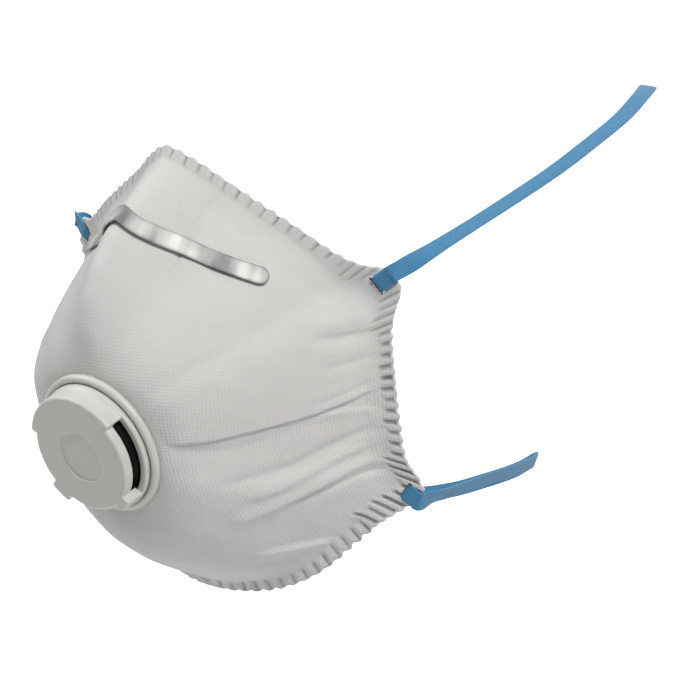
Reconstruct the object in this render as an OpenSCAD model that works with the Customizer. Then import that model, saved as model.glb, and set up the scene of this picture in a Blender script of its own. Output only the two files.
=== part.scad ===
// Disposable dust mask: a moulded cup of four fabric layers with a crimped border, a bendable nose
// clip, an exhalation valve and two elastic head straps. It stands as worn: +Z is up, the wearer
// faces -Y, and the origin is the middle of the face opening.

/* [Cup] */
// Width across the lower strap tabs
mask_width = 124; // [112:1:138]
// Height from nose to chin
mask_height = 130.6; // [118:0.2:146]
// Distance from the face opening forward to the valve
cup_depth = 48.9; // [42:0.1:56]
// Thickness of the outer cover
cover_thick = 0.5; // [0.3:0.05:0.7]
// Thickness of the stiff support shell
shell_thick = 0.7; // [0.4:0.05:1]
// Thickness of the filter layer
filter_thick = 1; // [0.6:0.05:1.4]
// Thickness of the inner liner
liner_thick = 0.4; // [0.3:0.05:0.6]

/* [Valve] */
// Radius of the rubber flap, which the rest of the valve follows
flap_r = 12.2; // [10:0.1:15]
// How far the flap opens, in degrees
flap_angle = 12; // [8:1:20]
// Width of the flange that shows round the valve cover
flange_width = 2.1; // [1.7:0.1:3]
// Downward tilt of the valve
valve_tilt = 9.3; // [4:0.1:14]

/* [Nose clip] */
// Width of the metal strip
clip_width = 5; // [4:0.1:6]
// Thickness of the metal strip
clip_thick = 0.8; // [0.5:0.05:1]

/* [Straps] */
// Width of the elastic bands
strap_width = 5; // [4:0.1:6.5]
// Thickness of the elastic bands
strap_thick = 0.8; // [0.6:0.05:1]

/* [Hidden] */

// Fits
layer_gap = 0.05;      // between layers that are welded or pressed together
part_gap = 0.1;        // between separate parts that rest on each other
valve_z = -8.1;        // height of the valve's middle
hub_clear = 0.4;       // between the valve's tube and the hole in the layers

// Radii of the valve, outwards from the flap
seat_r = flap_r - 0.4;          // the ridge that the flap closes on
seat_bore_r = seat_r - 0.8;
tube_bore_r = flap_r + 0.8;     // the tube that passes through the layers
tube_r = tube_bore_r + 0.9;
hole_r = tube_r + hub_clear;
wall_thick = 1.4;
cover_r = flap_r + 5.6;         // the cover's wall
lip_r = cover_r - 1.8;          // the plate where the wall is cut away below it
base_bore_r = tube_r + 0.7;
base_r = cover_r + 0.5;         // the cover's base, inside the flange's raised rim
rim_r = base_r + 0.2;
flange_r = base_r + flange_width;
dish_r = 0.62 * flap_r;         // the shallow dish in the plate

// The cup's surface runs out from the valve's flange to the border's root, in `around` stations
// and at these distances: -1 is the valve hole, 0 the flange's rim, 1 the root, 2 the outer edge.
around = 56;
cup_rows = [-1, 0, 0.12, 0.24, 0.36, 0.48, 0.6, 0.72, 0.84, 0.94, 0.975, 1];
border_rows = [1.5, 2];
flat_r = flange_r + 0.2;
root_setback = 2;      // how far the border's root lies in front of its edge
root_slope = 0.1;      // and how much further for each millimetre of the border's width
pinch_from = 0.75;     // where the layers start to be squeezed together towards the root

// One half of the rim, from the nose to the chin: x, y, z and the width of the crimped border
rim = [[0, -13.5, 65, 4], [8, -11.5, 61.5, 4], [16, -8.5, 55.8, 4], [26, -5.5, 49.3, 4],
       [36, -2.5, 42.8, 4.5], [44, 0.5, 37, 6], [50, 3.5, 33.5, 9], [56, 6.5, 32, 11],
       [59.5, 8, 27, 10], [57.5, 7, 19, 6], [56.8, 6.7, 12, 4.5], [57, 6.8, 0, 4.5],
       [57.5, 7, -12, 5], [58.5, 7.5, -22, 7], [61.5, 9, -28, 9.5], [62, 9.3, -32.5, 10],
       [58, 7.5, -36, 8], [51, 4, -41, 5.5], [44, 1, -47.5, 4.5], [37, -2.2, -54.5, 4],
       [30, -5, -59.5, 4], [21, -8, -63.3, 4], [10, -11, -65.2, 4], [0, -12, -65.6, 4]];
rim_width = 124;       // the size that the rim's points are drawn at
rim_height = 130.6;
wide = mask_width / rim_width;
high = mask_height / rim_height;

// How full the cup is at the top, the sides and the bottom: two powers each
top_form = [3.1, 1.1];
side_form = [1.5, 1.4];
crest_power = 70;      // how narrow the crest over the nose is
cheek_fill = 0.5;      // how full the cheeks beside it are
cheek_end = 0.9;
bottom_form = [2, 1];

last = len(rim) - 1;
ring = concat(rim, [for (i = [last - 1:-1:1]) [-rim[i].x, rim[i].y, rim[i].z, rim[i][3]]]);

function knot(i) = ring[(i + len(ring)) % len(ring)];
function curve(a, b, c, d, t) =
    (2 * b + (c - a) * t + (2 * a - 5 * b + 4 * c - d) * t * t + (3 * b - a - 3 * c + d) * t * t * t) / 2;

// u goes once round the rim, from the nose over +X to the chin and back
function rim_at(u) =
    let (s = (u - floor(u)) * len(ring), i = floor(s))
    curve(knot(i - 1), knot(i), knot(i + 1), knot(i + 2), s - i);
function edge(u) = let (r = rim_at(u)) [r.x * wide, r.y, r.z * high];
function outward(u) = let (e = edge(u), d = [e.x, e.z - valve_z]) d / norm(d);
function root(u) =
    let (e = edge(u), w = rim_at(u)[3], d = outward(u))
    [e.x - w * d.x, e.y - root_setback - root_slope * w, e.z - w * d.y];
function on_flange(u, r) =
    let (d = outward(u))
    [r * d.x, -cup_depth - r * d.y * sin(valve_tilt), valve_z + r * d.y * cos(valve_tilt)];
function form(u) =
    let (d = outward(u), rise = max(d.y, 0), cheek = min(1, rise / cheek_end),
         up = cheek_fill * cheek * cheek * (3 - 2 * cheek) + (1 - cheek_fill) * pow(rise, crest_power),
         down = pow(max(-d.y, 0), 2))
    top_form * up + bottom_form * down + side_form * (1 - up - down);
function cup(u, v) =
    let (a = on_flange(u, flat_r), b = root(u), f = form(u), k = pow(1 - pow(v, f.x), f.y))
    [a.x + (b.x - a.x) * v, b.y + (a.y - b.y) * k, a.z + (b.z - a.z) * v];
function skin(u, s) =
    s < 0 ? on_flange(u, flat_r + (flat_r - hole_r) * s)
    : s <= 1 ? cup(u, s)
    : root(u) + (edge(u) - root(u)) * (s - 1);

step = 0.004;
function facing(u, s) =
    let (n = cross(skin(u + step, s) - skin(u - step, s),
                   skin(u, min(s + step, 2)) - skin(u, max(s - step, -1))))
    n / norm(n);
function raised(u, s, h) = skin(u, s) + h * facing(u, s);

// The share of the middle layers' thickness that is left at each distance
function pinch(s) = s < pinch_from ? 1 : max(0, 1 - pow((s - pinch_from) / (1 - pinch_from), 2));
middle = shell_thick + filter_thick + 2 * layer_gap;
function shell_top(s) = -cover_thick - layer_gap;
function filter_top(s) = shell_top(s) - pinch(s) * (shell_thick + layer_gap);
function liner_top(s) = shell_top(s) - pinch(s) * middle;
stack = cover_thick + layer_gap + middle + liner_thick;

// A closed sheet between two offsets of the skin, given for each row
module sheet(rows, outer, inner) {
    count = len(rows) * around;
    function at(side, j, k) = side * count + j * around + k % around;
    points = [for (side = [outer, inner]) for (j = [0:len(rows) - 1]) for (k = [0:around - 1])
        raised(k / around, rows[j], side[j])];
    faces = [for (k = [0:around - 1]) for (face = concat(
        [for (j = [0:len(rows) - 2]) for (f = [
            [at(0, j, k), at(0, j + 1, k), at(0, j + 1, k + 1)],
            [at(0, j, k), at(0, j + 1, k + 1), at(0, j, k + 1)],
            [at(1, j, k), at(1, j + 1, k + 1), at(1, j + 1, k)],
            [at(1, j, k), at(1, j, k + 1), at(1, j + 1, k + 1)]]) f],
        [for (e = [[0, 0, 1], [len(rows) - 1, 1, 0]]) for (f = [
            [at(e[1], e[0], k), at(e[1], e[0], k + 1), at(e[2], e[0], k + 1)],
            [at(e[1], e[0], k), at(e[2], e[0], k + 1), at(e[2], e[0], k)]]) f])) face];
    polyhedron(points, faces);
}

// A flat band swept along points, with its outward directions and its width at each point
module band(path, faces_to, widths, thick) {
    ends = len(path) - 1;
    function along(i) = let (d = path[min(i + 1, ends)] - path[max(i - 1, 0)]) d / norm(d);
    function across(i) = let (w = cross(along(i), faces_to[i])) w / norm(w);
    points = [for (i = [0:ends]) let (w = across(i) * widths[i] / 2, n = cross(across(i), along(i)) * thick / 2)
        for (p = [w + n, w - n, -w - n, -w + n]) path[i] + p];
    faces = concat([[0, 1, 2], [0, 2, 3]],
        [for (i = [0:ends - 1]) for (k = [0:3]) let (a = 4 * i + k, b = 4 * i + (k + 1) % 4)
            for (f = [[a, a + 4, b], [b, a + 4, b + 4]]) f],
        [let (a = 4 * ends) for (f = [[a, a + 2, a + 1], [a, a + 3, a + 2]]) f]);
    polyhedron(points, faces);
}
module mirrored() {
    children();
    mirror([1, 0, 0]) children();
}

// The strap tabs: where the slot is in the border, as a share of the way round and a distance
upper_u = 0.16;
lower_u = 0.33;
slot_row = 1.55;
slot_length = strap_width + 1.5;
slot_width = 3;
slot_depth = 6;
upper_slot = skin(upper_u, slot_row);
lower_slot = skin(lower_u, slot_row);
upper_exit = [57.6 * wide, 7.5, 31.2 * high];
lower_exit = [60.8 * wide, 8.9, -34 * high];

// The frame of a tab: x runs from the slot to the exit at the tab's edge, z out of its face
function tab_axes(u, slot, exit) =
    let (x = (exit - slot) / norm(exit - slot), side = cross(facing(u, slot_row), x), y = side / norm(side))
    [x, y, cross(x, y)];
module at_tab(u, slot, exit) {
    a = tab_axes(u, slot, exit);
    multmatrix([[a[0].x, a[1].x, a[2].x, slot.x], [a[0].y, a[1].y, a[2].y, slot.y],
                [a[0].z, a[1].z, a[2].z, slot.z], [0, 0, 0, 1]])
        children();
}
module tab_slots() {
    mirrored() {
        at_tab(upper_u, upper_slot, upper_exit) cube([slot_width, slot_length, slot_depth], center = true);
        at_tab(lower_u, lower_slot, lower_exit) cube([slot_width, slot_length, slot_depth], center = true);
    }
}

module outer_cover() color("whitesmoke") difference() {
    rows = concat(cup_rows, border_rows);
    sheet(rows, [for (s = rows) 0], [for (s = rows) -cover_thick]);
    tab_slots();
}

middle_rows = [for (s = cup_rows) if (s < 1) s];
module support_shell() color("gainsboro")
    sheet(middle_rows, [for (s = middle_rows) shell_top(s)],
          [for (s = middle_rows) shell_top(s) - pinch(s) * shell_thick]);
module filter_layer() color("white")
    sheet(middle_rows, [for (s = middle_rows) filter_top(s)],
          [for (s = middle_rows) filter_top(s) - pinch(s) * filter_thick]);

module inner_liner() color("whitesmoke") difference() {
    rows = concat(cup_rows, border_rows);
    sheet(rows, [for (s = rows) liner_top(s)], [for (s = rows) liner_top(s) - liner_thick]);
    tab_slots();
}

// The clip is a strip from one cheek over the nose to the other, a constant height off the cup
clip_u = 0.095;        // how far round the rim it reaches on each side
clip_rows = [0.795, 0.84];
clip_steps = 16;
clip_gap = 0.5;        // it bridges the hollows beside the crest
clip_lift = clip_gap + clip_thick / 2;
clip_dip = 0.24;       // it sags a little between the nose and each end
function clip_row(t) = clip_rows[0] + (clip_rows[1] - clip_rows[0]) * abs(t) - clip_dip * abs(t) * (1 - abs(t));
function clip_path(t) = raised(t * clip_u, clip_row(t), clip_lift);
function clip_taper(t) = sqrt(max(0.06, 1 - pow(max(0, (abs(t) - 0.94) / 0.06), 2)));
module nose_clip() color("silver") {
    stations = [for (i = [-clip_steps:clip_steps]) sin(i / clip_steps * 90)];
    band([for (t = stations) clip_path(t)], [for (t = stations) facing(t * clip_u, clip_row(t))],
         [for (t = stations) clip_width * clip_taper(t)], clip_thick);
}

// The foam lines the nose inside, under the clip
foam_u = 0.085;
foam_row = 0.86;
foam_width = 11;
foam_thick = 4;
foam_steps = 10;
foam_gap = 0.45;       // its flat steps stay clear of the curved liner
module nose_foam() color("lightgray") {
    stations = [for (i = [-foam_steps:foam_steps]) i / foam_steps];
    drop = stack + foam_gap + foam_thick / 2;
    band([for (t = stations) raised(t * foam_u, foam_row, -drop)],
         [for (t = stations) facing(t * foam_u, foam_row)],
         [for (t = stations) foam_width * (1 - 0.35 * pow(abs(t), 4))], foam_thick);
}

// The valve is built facing +Z, with its middle at the origin on the cup's surface
module in_valve() {
    translate([0, -cup_depth, valve_z]) rotate([90 + valve_tilt, 0, 0]) children();
}
module turned(outline) rotate_extrude($fn = 96) polygon(outline);
module sector(from, to, r) {
    middle_angle = (from + to) / 2;
    polygon([[0, 0], r * [cos(from), sin(from)], r * 1.3 * [cos(middle_angle), sin(middle_angle)],
             r * [cos(to), sin(to)]]);
}

flange_thick = 1.2;
flange_rise = 2;
ridge_top = 1.6;
flap_gap = 0.3;        // the flap rests this far off the ridge
flap_thick = 0.5;
flap_bottom = ridge_top + flap_gap;
flap_room = 0.53;      // between the open flap and the plate
plate_thick = 1;
valve_height = flap_bottom + flap_thick + 2 * flap_r * sin(flap_angle) + flap_room + plate_thick;
arm_width = 1.4;
arm_drop = 0.8;
arm_bite = 0.2;        // how far the arms run into the ring that carries them
hub_r = 2.2;
ring_thick = 1.2;
tube_end = -(stack + part_gap + ring_thick + 0.4);

module valve_seat() color("white") in_valve() {
    turned([[seat_bore_r, -arm_drop], [seat_bore_r, ridge_top], [seat_r, ridge_top], [seat_r, flange_thick],
            [rim_r, flange_thick], [rim_r, flange_rise], [flange_r - 1.2, flange_rise],
            [flange_r - 0.5, flange_rise - 0.3], [flange_r, flange_rise - 1.1], [flange_r, part_gap],
            [tube_r, part_gap], [tube_r, tube_end], [tube_bore_r, tube_end], [tube_bore_r, -arm_drop]]);
    translate([0, 0, -arm_drop]) cylinder(r = hub_r, h = flange_thick + arm_drop, $fn = 48);
    for (a = [45, 135]) rotate(a)
        translate([-seat_bore_r - arm_bite, -arm_width / 2, -arm_drop])
            cube([2 * (seat_bore_r + arm_bite), arm_width, flange_thick + arm_drop - 0.2]);
}

module valve_backing_ring() color("white") in_valve()
    translate([0, 0, -stack - part_gap - ring_thick]) difference() {
        cylinder(r = flange_r - 1.4, h = ring_thick, $fn = 96);
        translate([0, 0, -1]) cylinder(r = tube_r + part_gap, h = ring_thick + 2, $fn = 96);
    }

module valve_flap() color("gainsboro") in_valve()
    translate([0, 0, flap_bottom]) cylinder(r = flap_r, h = flap_thick, $fn = 96);

// Vents in the valve cover's wall and the pillars between them, as angles from +X
vents = [[-37, 41], [-120, -51], [-197, -141]];
pillars = [[-51, -37], [-141, -120]];
lip_drop = 3;
base_top = 3.4;
base_bottom = flange_thick + layer_gap;
dish_depth = 0.5;

module valve_cover() color("white") in_valve() difference() {
    union() {
        // base, closed wall and front plate with a rounded edge
        turned([[base_bore_r, base_bottom], [base_r, base_bottom], [base_r, base_top - 0.6],
                [cover_r, base_top], [cover_r, valve_height - 1], [cover_r - 0.3, valve_height - 0.3],
                [cover_r - 1, valve_height], [0, valve_height], [0, valve_height - plate_thick],
                [cover_r - wall_thick, valve_height - plate_thick], [cover_r - wall_thick, base_top],
                [base_bore_r, base_top]]);
        // the lip under the plate's edge
        turned([[lip_r - 1, valve_height - lip_drop], [lip_r, valve_height - lip_drop],
                [lip_r, valve_height - plate_thick / 2], [lip_r - 1, valve_height - plate_thick / 2]]);
        // pillars that carry the plate between the vents
        for (p = pillars) intersection() {
            turned([[lip_r - 1, base_top - 0.5], [base_r, base_top - 0.5], [base_r, valve_height - 0.6],
                    [base_r - 0.6, valve_height], [lip_r - 1, valve_height]]);
            linear_extrude(valve_height + 1) sector(p[0], p[1], flange_r + 1);
        }
    }
    for (v = vents) intersection() {
        turned([[lip_r, base_top], [flange_r, base_top], [flange_r, valve_height + 1], [lip_r, valve_height + 1]]);
        linear_extrude(valve_height + 2) sector(v[0], v[1], flange_r + 1);
    }
    translate([0, 0, valve_height - dish_depth]) cylinder(r = dish_r, h = 1, $fn = 96);
}

// A strap's end: from behind the tab through the slot, and over the tab's face to its edge
tab_stack = cover_thick + layer_gap + liner_thick;
strap_half = strap_thick / 2;
tail_length = 6;
lap_gap = 0.3;         // between the band and the tab's crimped faces
lap_rise = 0.5;        // the lap lifts off the tab's curved edge
lap_past = 0.8;        // and ends this far beyond it
lap_top = strap_half + lap_gap;
module strap_end(u, slot, exit) {
    reach = norm(exit - slot) + lap_past;
    under = -tab_stack - strap_half - lap_gap;
    path = [[-tail_length, 0, under], [-1.6, 0, under], [-0.8, 0, under + 0.25], [0.8, 0, lap_top - 0.25],
            [1.6, 0, lap_top], [reach, 0, lap_top + lap_rise]];
    at_tab(u, slot, exit) band(path, [for (p = path) [0, 0, 1]], [for (p = path) strap_width], strap_thick);
}
// A loop swings about the X line through the outer ends of its two laps
function pivot(u, slot, exit) =
    let (a = tab_axes(u, slot, exit))
    slot + a[0] * (norm(exit - slot) + lap_past) + a[2] * (lap_top + lap_rise);
upper_pivot = pivot(upper_u, upper_slot, upper_exit);
lower_pivot = pivot(lower_u, lower_slot, lower_exit);
module upper_strap_ends() color("steelblue") mirrored() strap_end(upper_u, upper_slot, upper_exit);
module lower_strap_ends() color("steelblue") mirrored() strap_end(lower_u, lower_slot, lower_exit);

// Routes of the two loops round the head, from the +X tab to the -X tab, at the rim's drawn size
upper_route = [[60, 14, 33], [64, 25, 36.7], [69, 42, 41.8], [73, 62, 47], [74, 80, 51], [73, 98, 54],
               [69, 115, 56], [63, 129, 55], [55, 140, 51], [46, 146, 43], [37, 149, 35], [27, 147, 27],
               [12, 141, 15], [-3, 131, 4], [-17, 118, -6.5], [-30, 103, -13], [-42, 85, -9], [-51, 64, 4],
               [-55, 44, 16], [-57, 26, 25], [-58.5, 14, 30.5]];
lower_route = [[61, 16, -35.5], [59, 25, -38], [56, 40, -41.8], [53, 55, -45.5], [50, 70, -49.5],
               [46, 84, -53], [41.5, 93, -56], [34, 102, -61], [24, 107, -68], [12, 107, -74],
               [0, 103, -78.5], [-12, 97, -80], [-24, 87, -75], [-36, 72, -67], [-46, 56, -57],
               [-54, 38, -47], [-60, 20, -38]];
crown = [0, 80, -35];  // the upper strap faces away from this line's height
nape = [0, 60, 25];
start_gap = 1;         // between a strap's end and the loop that swings from it
neck_length = 2.1;     // each end of a loop narrows to a tip, so that it can swing
neck_shares = [0.09, 0.92];
turn_from = 10;        // behind the mask, the upper band turns its face upwards over this distance
turn_over = 24;
upper_rise = 400;
lower_rise = -nape.z;

module loop(points, from, centre, turned_rise) {
    route = [for (p = points) [p.x * wide, p.y, p.z * high]];
    finish = [-from.x, from.y, from.z];
    a = route[0] - from;
    b = route[len(route) - 1] - finish;
    start = from + a / norm(a) * start_gap;
    stop = finish + b / norm(b) * start_gap;
    wide_start = start + a / norm(a) * neck_length;
    wide_stop = stop + b / norm(b) * neck_length;
    path = concat([start, wide_start], smooth(route),
                  [wide_stop, stop]);
    n = len(path) - 1;
    band(path, [for (p = path) face_of(p, centre, turned_rise)],
         [for (i = [0:n]) strap_width * (min(i, n - i) > 1 ? 1 : neck_shares[min(i, n - i)])],
         strap_thick);
}
function face_of(p, centre, turned_rise) =
    let (turned = min(1, max(0, (p.y - turn_from) / turn_over)),
         d = [p.x, p.y - centre.y, -centre.z * (1 - turned) + turned_rise * turned])
    d / norm(d);
function smooth(a) =
    let (n = len(a))
    [for (i = [0:n - 2]) for (t = [0, 0.5])
        curve(a[max(i - 1, 0)], a[i], a[i + 1], a[min(i + 2, n - 1)], t), a[n - 1]];
module upper_strap() color("steelblue") loop(upper_route, upper_pivot, crown, upper_rise);
module lower_strap() color("steelblue") loop(lower_route, lower_pivot, nape, lower_rise);

outer_cover();
support_shell();
filter_layer();
inner_liner();
nose_clip();
nose_foam();
valve_seat();
valve_backing_ring();
valve_flap();
valve_cover();
upper_strap_ends();
lower_strap_ends();
upper_strap();
lower_strap();
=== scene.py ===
import math
import bpy
import numpy as np
from mathutils import Matrix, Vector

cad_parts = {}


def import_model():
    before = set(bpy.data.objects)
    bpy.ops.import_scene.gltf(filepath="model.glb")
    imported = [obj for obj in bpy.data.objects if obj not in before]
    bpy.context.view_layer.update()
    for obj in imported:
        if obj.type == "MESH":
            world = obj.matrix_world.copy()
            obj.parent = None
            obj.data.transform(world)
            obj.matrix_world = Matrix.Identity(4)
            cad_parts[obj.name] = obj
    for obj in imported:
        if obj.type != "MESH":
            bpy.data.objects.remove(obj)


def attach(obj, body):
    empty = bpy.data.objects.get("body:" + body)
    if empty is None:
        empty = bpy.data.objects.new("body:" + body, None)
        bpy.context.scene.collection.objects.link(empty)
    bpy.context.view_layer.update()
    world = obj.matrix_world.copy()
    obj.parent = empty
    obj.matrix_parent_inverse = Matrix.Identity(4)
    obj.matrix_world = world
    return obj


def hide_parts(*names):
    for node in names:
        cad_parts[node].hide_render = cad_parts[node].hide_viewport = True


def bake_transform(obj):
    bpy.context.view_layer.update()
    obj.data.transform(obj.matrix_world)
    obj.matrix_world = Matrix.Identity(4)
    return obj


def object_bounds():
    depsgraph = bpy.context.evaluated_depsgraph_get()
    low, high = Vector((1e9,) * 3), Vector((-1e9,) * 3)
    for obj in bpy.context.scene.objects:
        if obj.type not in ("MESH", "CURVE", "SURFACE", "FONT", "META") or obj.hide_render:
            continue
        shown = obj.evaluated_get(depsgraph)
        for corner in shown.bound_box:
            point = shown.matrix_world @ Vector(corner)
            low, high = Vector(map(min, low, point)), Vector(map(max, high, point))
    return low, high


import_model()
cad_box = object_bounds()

# A disposable dust mask. Sizes are in millimetres, in the frame of the CAD model (+Z up as worn,
# the wearer faces -Y), and become metres when a mesh is made. The cup's surface is the same one
# that the CAD layers follow, with its folds and crimps added.
MM = 0.001
rng = np.random.default_rng(11)

# ---------------------------------------------------------------- the cup's surface
# One half of the rim from the nose to the chin: x, y, z and the width of the crimped border
RIM = [(0, -13.5, 65, 4), (8, -11.5, 61.5, 4), (16, -8.5, 55.8, 4), (26, -5.5, 49.3, 4),
       (36, -2.5, 42.8, 4.5), (44, 0.5, 37, 6), (50, 3.5, 33.5, 9), (56, 6.5, 32, 11),
       (59.5, 8, 27, 10), (57.5, 7, 19, 6), (56.8, 6.7, 12, 4.5), (57, 6.8, 0, 4.5),
       (57.5, 7, -12, 5), (58.5, 7.5, -22, 7), (61.5, 9, -28, 9.5), (62, 9.3, -32.5, 10),
       (58, 7.5, -36, 8), (51, 4, -41, 5.5), (44, 1, -47.5, 4.5), (37, -2.2, -54.5, 4),
       (30, -5, -59.5, 4), (21, -8, -63.3, 4), (10, -11, -65.2, 4), (0, -12, -65.6, 4)]
RING = np.array(RIM + [(-x, y, z, w) for x, y, z, w in RIM[-2:0:-1]], float)
CUP_DEPTH = 48.9
VALVE_Z = -8.1
VALVE_TILT = math.radians(9.3)
FLAP_R = 12.2
HOLE_R = FLAP_R + 2.1
FLANGE_R = FLAP_R + 8.2
FLAT_R = FLANGE_R + 0.2
COVER_THICK, SHELL_THICK, FILTER_THICK, LINER_THICK, LAYER_GAP = 0.5, 0.7, 1.0, 0.4, 0.05
MIDDLE = SHELL_THICK + FILTER_THICK + 2 * LAYER_GAP
CREST, CHEEK = 70, 0.32  # how narrow the crest over the nose is, and how full the cheeks beside it
CHEEK_END = 0.6        # how far up the cheeks reach their full share
# The two powers that shape the way from the valve to the rim, above, at the sides and below
TOP_FORM, SIDE_FORM, BOTTOM_FORM = np.array([3.1, 1.1]), np.array([1.5, 1.4]), np.array([2.0, 1.0])
ROOT_SETBACK, ROOT_SLOPE = 2, 0.1  # how far in front of the rim the border's root lies
FILLET = (0.92, 1.3)  # the rows between which the cup turns softly into its border


def catmull_rom(a, b, c, d, t):
    """The curve from b to c at t, which also heads for a and d."""
    bend, swing = 2 * a - 5 * b + 4 * c - d, 3 * b - a - 3 * c + d
    return (2 * b + (c - a) * t + bend * t**2 + swing * t**3) / 2


def spline(points, s):
    """A closed Catmull-Rom curve through points, at s in points from the first."""
    i = np.floor(s).astype(int)
    t = (s - i)[..., None]
    a, b, c, d = (points[(i + k) % len(points)] for k in (-1, 0, 1, 2))
    return catmull_rom(a, b, c, d, t)


def smooth(low, high, x):
    """0 up to low and 1 from high, with a soft rise between them."""
    t = np.clip((x - low) / (high - low), 0, 1)
    return t * t * (3 - 2 * t)


class Skin:
    """The cup's surface at stations u (0 at the nose, once round) and rows s (-1 the valve hole,
    0 the flange's rim, 1 the border's root, 2 its outer edge)."""

    def __init__(self, u, s):
        self.u, self.s = np.asarray(u, float), np.asarray(s, float)
        rim = spline(RING, (self.u % 1) * len(RING))
        self.width = rim[:, 3]
        self.edge = rim[:, :3]
        out = self.edge[:, [0, 2]] - (0, VALVE_Z)
        self.out = out / np.linalg.norm(out, axis=1)[:, None]
        setback = ROOT_SETBACK + ROOT_SLOPE * self.width
        inset = [self.width * self.out[:, 0], setback, self.width * self.out[:, 1]]
        self.root = self.edge - np.stack(inset, 1)
        self.points = np.stack([self.row(v) for v in self.s])
        du = np.roll(self.points, -1, 1) - np.roll(self.points, 1, 1)
        ds = np.gradient(self.points, axis=0)
        n = np.cross(du, ds)
        self.normals = n / np.linalg.norm(n, axis=2)[..., None]

    def on_flange(self, r):
        """Points at radius r on the tilted flat place where the valve stands."""
        x, up = self.out[:, 0], self.out[:, 1]
        y = -CUP_DEPTH - r * up * math.sin(VALVE_TILT)
        z = VALVE_Z + r * up * math.cos(VALVE_TILT)
        return np.stack([r * x, y, z], 1)

    def row(self, s):
        """The points of row s, before folds and crimps."""
        if s < 0:
            return self.on_flange(FLAT_R + (FLAT_R - HOLE_R) * s)
        if FILLET[0] < s < FILLET[1]:
            t = (s - FILLET[0]) / (FILLET[1] - FILLET[0])
            start, end = self.row(FILLET[0]), self.row(FILLET[1])
            return (1 - t)**2 * start + 2 * t * (1 - t) * self.root + t**2 * end
        if s > 1:
            return self.root + (self.edge - self.root) * (s - 1)
        rise = np.clip(self.out[:, 1:], 0, 1)
        up = CHEEK * smooth(0, CHEEK_END, rise) + (1 - CHEEK) * rise ** CREST
        down = np.clip(-self.out[:, 1:], 0, 1) ** 2
        form = TOP_FORM * up + BOTTOM_FORM * down + SIDE_FORM * (1 - up - down)
        k = (1 - s ** form[:, 0]) ** form[:, 1]
        a = self.on_flange(FLAT_R)
        flat = a + (self.root - a) * s
        flat[:, 1] = self.root[:, 1] + (a[:, 1] - self.root[:, 1]) * k
        return flat

    def thread(self):
        """Where each point lies on the flat fabric: across and up from the valve's middle."""
        steps = np.linalg.norm(np.diff(self.points, axis=0), axis=2)
        start = np.linalg.norm(self.points[0] - (0, -CUP_DEPTH, VALVE_Z), axis=1)
        reach = start + np.vstack([np.zeros(len(self.u)), np.cumsum(steps, axis=0)])
        return reach * self.out[:, 0], reach * self.out[:, 1]


# ---------------------------------------------------------------- folds and crimps
# Folds in the cup: height, widths above and below, and the line on the flat fabric, as (across, up)
# from the valve's middle. A negative height is a hollow.
FOLDS = [
    (1.0, 13, 0.55, [(20, 4.2), (34, 3.4), (48, 3.9), (64, 5.0), (76, 8.3), (86, 12.5)]),
    (-0.65, 2.2, 8, [(24, 0.6), (38, -2.5), (50, -2.0), (62, 0)]),
    (0.35, 1.2, 2.2, [(64, 3.4), (75, 2.6), (84, 1.2)]),
    (-0.3, 1.1, 1.3, [(62, 8.0), (74, 11.5), (84, 15.5)]),
    (0.95, 2.6, 1.6, [(30, -29.5), (46, -28.6), (61, -25.6), (72, -23), (84, -21)]),
    (-0.8, 2.2, 2.6, [(31, -13.5), (43, -14.8), (56, -15.6), (70, -11), (84, -6.2)]),
    (0.7, 2.2, 1.9, [(36, -21), (50, -21.5), (64, -18.5), (80, -14)]),
    (-0.7, 1.4, 1.6, [(48, -31.5), (60, -29), (72, -27), (82, -26)]),
    (0.9, 1.5, 2.4, [(30, -47), (41, -50.3), (49, -53), (56, -54)]),
    (-0.35, 1.5, 1.5, [(28, -53), (40, -57), (52, -60)]),
    (-0.75, 1.8, 3, [(60, 34), (70, 34.3), (79, 35.2), (86, 36)]),
    (0.35, 2.5, 2.5, [(56, 40), (68, 40), (80, 42)]),
    (-0.3, 0.6, 0.9, [(20, 84), (16.8, 70), (17, 59), (13, 46)]),
    (0.25, 0.8, 0.8, [(6, 86), (10, 77), (13.5, 68)]),
    (-0.3, 1.6, 1.6, [(66, 22), (76, 24), (86, 27)]),
]
LEFT_SHARE = 0.8       # the folds of the far cheek are a little softer, and lie a little lower
LEFT_DROP = 1.5


def fold(a, b, height, above, below, line):
    """The height of one fold at points (a, b): it follows its line and fades out at both ends."""
    line = np.array(line, float)
    runs = np.linalg.norm(np.diff(line, axis=0), axis=1)
    total, passed = runs.sum(), 0.0
    best = np.full(a.shape, 1e9)
    side, along = np.zeros(a.shape), np.zeros(a.shape)
    for p, q, run in zip(line[:-1], line[1:], runs):
        d = (q - p) / run
        t = np.clip((a - p[0]) * d[0] + (b - p[1]) * d[1], 0, run)
        x, y = a - p[0] - t * d[0], b - p[1] - t * d[1]
        away = np.hypot(x, y)
        near = away < best
        best = np.where(near, away, best)
        side = np.where(near, d[0] * y - d[1] * x, side)
        along = np.where(near, passed + t, along)
        passed += run
    width = np.where(side > 0, above, below)
    ends = smooth(0, min(0.3 * total, 8), along) * (1 - 0.75 * smooth(0.8 * total, total, along))
    return height * ends * np.exp(-(best / width) ** 2)


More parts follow.
